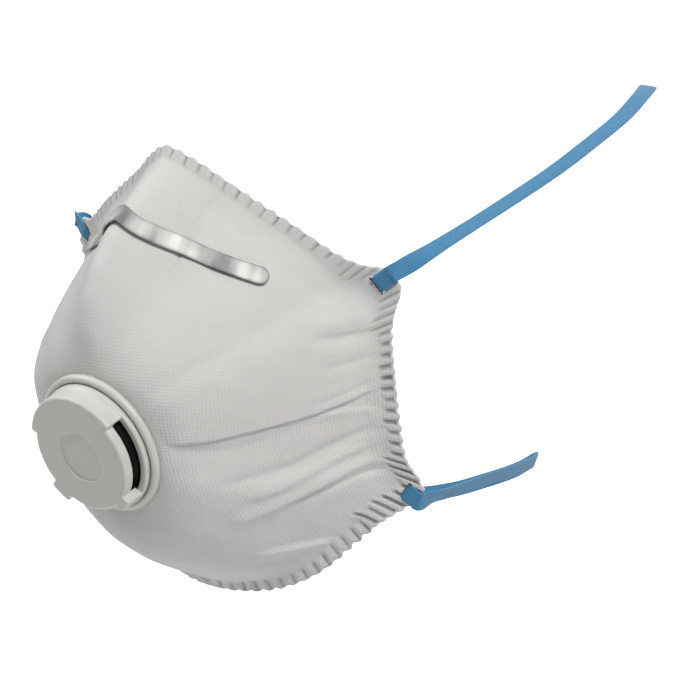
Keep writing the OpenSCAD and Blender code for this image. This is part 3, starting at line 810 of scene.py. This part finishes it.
def valve_cover():
    """The cap: its wall is closed over the top, and cut into three vents between two pillars; each vent
    is a recess whose back wall and floor are black, as painted shade inside the cap. Each ring is a
    radius for each degree, and a height."""
    degrees = np.arange(0, 360, 0.4)
    count = len(degrees)
    vent = share_between(degrees, VENTS, CUT)
    pillar = share_between(degrees, PILLARS, CUT)
    plate = WALL_R + (LIP_R - WALL_R) * vent + 0.5 * pillar
    slot_r = plate + (LIP_R - 1.3 - plate) * vent
    base_in = WALL_R + (LIP_R + 0.25 - WALL_R) * vent + 0.45 * pillar
    rings = []

    def add(r, z):
        rings.append((np.broadcast_to(r, count), np.broadcast_to(z, count)))

    dish = HEIGHT - DISH_DEPTH
    for r, z in ([(POLE, dish), (0.05, dish), (DISH_R * 0.5, dish), (DISH_R - 0.4, dish)]
                 + arc((DISH_R - 0.35, dish + 0.2), 0.2, -80, -10, 4)
                 + arc((DISH_R + 0.1, HEIGHT - 0.15), 0.2, 170, 90, 4)):
        add(r, z)
    for share in (0.1, 0.4, 0.75):
        add(DISH_R + 0.1 + (LIP_R - 1.1 - DISH_R) * share, HEIGHT + 0.05)
    for r, z in arc((-0.8, HEIGHT - 0.8), 0.8, 90, 0, 9):
        add(plate + r, z)

    # Down the outside, where it is open as a vent and where its wall is closed, ring for ring
    opened = [(plate, LIP_BOTTOM + 0.35)]
    opened += [(plate + r, z) for r, z in arc((-0.3, LIP_BOTTOM + 0.3), 0.3, 0, -90, 4)]
    first_slot_row = len(opened)
    opened += [(slot_r, LIP_BOTTOM - 0.05), (slot_r, BASE_TOP - 0.3), (base_in, BASE_TOP - 0.3)]
    opened += [(base_in + r, z) for r, z in arc((0.2, BASE_TOP - 0.2), 0.2, 180, 90, 4)]
    opened += [(BASE_R + r, z) for r, z in arc((-0.6, BASE_TOP - 0.6), 0.6, 90, 0, 6)]
    closed = [(plate, z) for z in np.linspace(LIP_BOTTOM + 0.3, BASE_TOP + 0.9, len(opened) - 8)]
    closed += [(plate + r, z) for r, z in ((0.02, 4.1), (0.1, 3.85), (0.22, 3.65))]
    closed += [(BASE_R - r, z) for r, z in ((0.2, 3.5), (0.08, 3.35), (0.02, 3.2), (0, 3.05), (0, 2.9))]
    slot_row = len(rings) + first_slot_row
    for (r, z), (wall_r, wall_z) in zip(opened, closed):
        add(r * vent + wall_r * (1 - vent), z * vent + wall_z * (1 - vent))
    for r, z in ((BASE_R, COVER_BOTTOM), (COVER_BORE, COVER_BOTTOM), (COVER_BORE, CEILING),
                 (POLE, CEILING)):
        add(r, z)

    turn = np.radians(degrees)
    points = np.stack([np.stack([r * np.cos(turn), r * np.sin(turn), z], -1) for r, z in rings])
    piece = mesh_piece("valve_cover", in_valve(points.reshape(-1, 3)), grid_faces(len(rings), count),
                       WHITE, "mask", ["valve_cover"])
    # The vents' back walls and floors take the black rubber as painted shade of the cap's inside.
    piece.data.materials.append(DARK)
    index = np.zeros(len(piece.data.polygons), int)
    for row in (slot_row, slot_row + 1):
        index[row * count:(row + 1) * count] = vent > 0.5
    piece.data.polygons.foreach_set("material_index", index)


def valve_seat():
    """The flange, the ridge that the flap closes on, the tube through the layers, and the arms."""
    rim = BASE_R + 0.2
    profile = [(BORE, -0.8), (BORE, 1.5)] + arc((FLAP_R - 0.8, 1.4), 0.25, 150, 30, 4)
    profile += [(FLAP_R - 0.4, 1.2), (BASE_R + 0.05, 1.2), (BASE_R + 0.08, 1.65), (rim + 0.1, 1.7)]
    profile += arc((rim + 0.6, 1.6), 0.4, 160, 90, 4)
    profile += arc((FLANGE_R - 1.2, 0.8), 1.2, 90, 0, 9) + [(FLANGE_R, 0.1), (TUBE_OUT, 0.1)]
    end = -(STACK + 1.7)
    profile += [(TUBE_OUT, end + 0.2), (TUBE_OUT - 0.2, end), (TUBE_IN + 0.2, end),
                (TUBE_IN, end + 0.2), (TUBE_IN, -0.8)]
    turned("valve_seat", profile, WHITE, ["valve_seat"])
    count = 41
    outward = in_valve([(0, 0, 1)])[0] - in_valve([(0, 0, 0)])[0]
    for name, degrees in (("seat_arm_1", 45), ("seat_arm_2", 135)):
        turn = math.radians(degrees)
        along = np.linspace(-BORE - 0.2, BORE + 0.2, count)
        path = np.stack([along * math.cos(turn), along * math.sin(turn), 0 * along + 0.1], 1)
        band(name, in_valve(path), np.tile(outward, (count, 1)), np.full(count, 1.4),
             np.full(count, 1.8), WHITE, "mask", [], edge=0.35)
    hub = [(POLE, 1.2)] + arc((1.8, 0.8), 0.4, 90, 0, 5)
    hub += arc((1.8, -0.4), 0.4, 0, -90, 5) + [(POLE, -0.8)]
    turned("seat_hub", hub, WHITE, [], around=96)


def valve_ring():
    """The ring inside the cup that holds the layers against the flange."""
    top, bottom = -STACK - 0.1, -STACK - 1.3
    inner, outer = FLAP_R + 1.8, FLANGE_R - 1.4
    profile = arc((outer - 0.4, bottom + 0.4), 0.4, 0, -90, 5)
    profile += arc((inner + 0.3, bottom + 0.3), 0.3, -90, -180, 5)
    profile += [(inner, top), (outer, top)]
    turned("valve_backing_ring", profile, WHITE, ["valve_backing_ring"])


def valve_flap():
    """The thin rubber disc, which swings with its joint."""
    low, high = 1.9, 2.4
    profile = [(POLE, high)] + arc((FLAP_R - 0.2, high - 0.2), 0.2, 90, 0, 4)
    profile += arc((FLAP_R - 0.2, low + 0.2), 0.2, 0, -90, 4) + [(POLE, low)]
    turned("valve_flap", profile, DARK, ["valve_flap"], "flap", 128)


valve_cover()
valve_seat()
valve_ring()
valve_flap()


# ---------------------------------------------------------------- floor, light and camera
FLOOR_DROP, FLOOR_SIZE = 0.16, 12.0  # metres below the object, and from its middle to each side


def floor():
    """A pale floor that looks white to the camera and in reflections, and keeps the shadow."""
    mesh = bpy.data.meshes.new("floor")
    low = float(cad_box[0][2]) - FLOOR_DROP
    corners = [(x * FLOOR_SIZE, y * FLOOR_SIZE, low) for x, y in ((-1, -1), (1, -1), (1, 1), (-1, 1))]
    mesh.from_pydata(corners, [], [(0, 1, 2, 3)])
    piece = bpy.data.objects.new("floor", mesh)
    bpy.context.scene.collection.objects.link(piece)
    m = Material("floor_paint", Roughness=0.9)
    m.shader.inputs["Base Color"].default_value = (0.8, 0.8, 0.8, 1)
    m.shader.inputs["Emission Color"].default_value = (1, 1, 1, 1)
    light = m.node("LightPath")
    seen = m.math("MAXIMUM", light.outputs["Is Camera Ray"], light.outputs["Is Glossy Ray"])
    seen = m.math("MAXIMUM", seen, light.outputs["Is Transmission Ray"])
    m.tree.links.new(m.math("MULTIPLY", seen, 0.9), m.shader.inputs["Emission Strength"])
    mesh.materials.append(m.material)


def world(level):
    """White to the camera and in reflections, and an even light of this level on the object."""
    made = bpy.data.worlds.new("studio")
    made.use_nodes = True
    tree = made.node_tree
    back = tree.nodes["Background"]
    light = tree.nodes.new("ShaderNodeLightPath")
    seen = light.outputs["Is Camera Ray"]
    for name in ("Is Glossy Ray", "Is Transmission Ray"):
        larger = tree.nodes.new("ShaderNodeMath")
        larger.operation = "MAXIMUM"
        tree.links.new(seen, larger.inputs[0])
        tree.links.new(light.outputs[name], larger.inputs[1])
        seen = larger.outputs[0]
    strength = tree.nodes.new("ShaderNodeMapRange")
    strength.inputs["To Min"].default_value = level
    strength.inputs["To Max"].default_value = 1.0
    tree.links.new(seen, strength.inputs["Value"])
    tree.links.new(strength.outputs[0], back.inputs["Strength"])
    back.inputs["Color"].default_value = (1, 1, 1, 1)
    bpy.context.scene.world = made


def direction(azimuth, elevation):
    """Towards a point round the object: azimuth 0 is in front of it (-Y) and 90 at its +X side."""
    a, e = math.radians(azimuth), math.radians(elevation)
    return np.array([math.sin(a) * math.cos(e), -math.cos(a) * math.cos(e), math.sin(e)])


def facing_matrix(place, back, roll=0.0):
    """A camera or lamp at place that looks along -back."""
    right = unit(np.cross((0, 0, 1), back))
    up = np.cross(back, right)
    r = math.radians(roll)
    right, up = right * math.cos(r) + up * math.sin(r), up * math.cos(r) - right * math.sin(r)
    matrix = Matrix.Identity(4)
    for i, axis in enumerate((right, up, back, place)):
        for j in range(3):
            matrix[j][i] = float(axis[j])
    return matrix


def lamp(name, azimuth, elevation, distance, size, watts):
    """A round soft lamp that faces the object. The distance and size are in metres."""
    data = bpy.data.lights.new(name, "AREA")
    data.shape, data.size, data.energy = "DISK", size, watts
    made = bpy.data.objects.new(name, data)
    bpy.context.scene.collection.objects.link(made)
    back = direction(azimuth, elevation)
    made.matrix_world = facing_matrix(back * distance, back)


def camera(azimuth, elevation, roll, distance, target, lens):
    data = bpy.data.cameras.new("camera")
    data.lens, data.sensor_width = lens, 36.0
    data.clip_start, data.clip_end = 0.01, 100.0
    made = bpy.data.objects.new("camera", data)
    bpy.context.scene.collection.objects.link(made)
    back = direction(azimuth, elevation)
    made.matrix_world = facing_matrix(np.array(target) + back * distance, back, roll)
    bpy.context.scene.camera = made


floor()
world(0.10)
lamp("key", 76, 49, 1.2, 0.45, 10.2)
lamp("fill", -70, 46, 1.4, 0.8, 9.4)
lamp("back", 180, 30, 1.4, 0.9, 3.5)
camera(39.64, 19.02, roll=-4.02, distance=0.6338, target=(0.0442, 0, 0.0126), lens=125.0)
bpy.context.scene.view_settings.view_transform = "Standard"
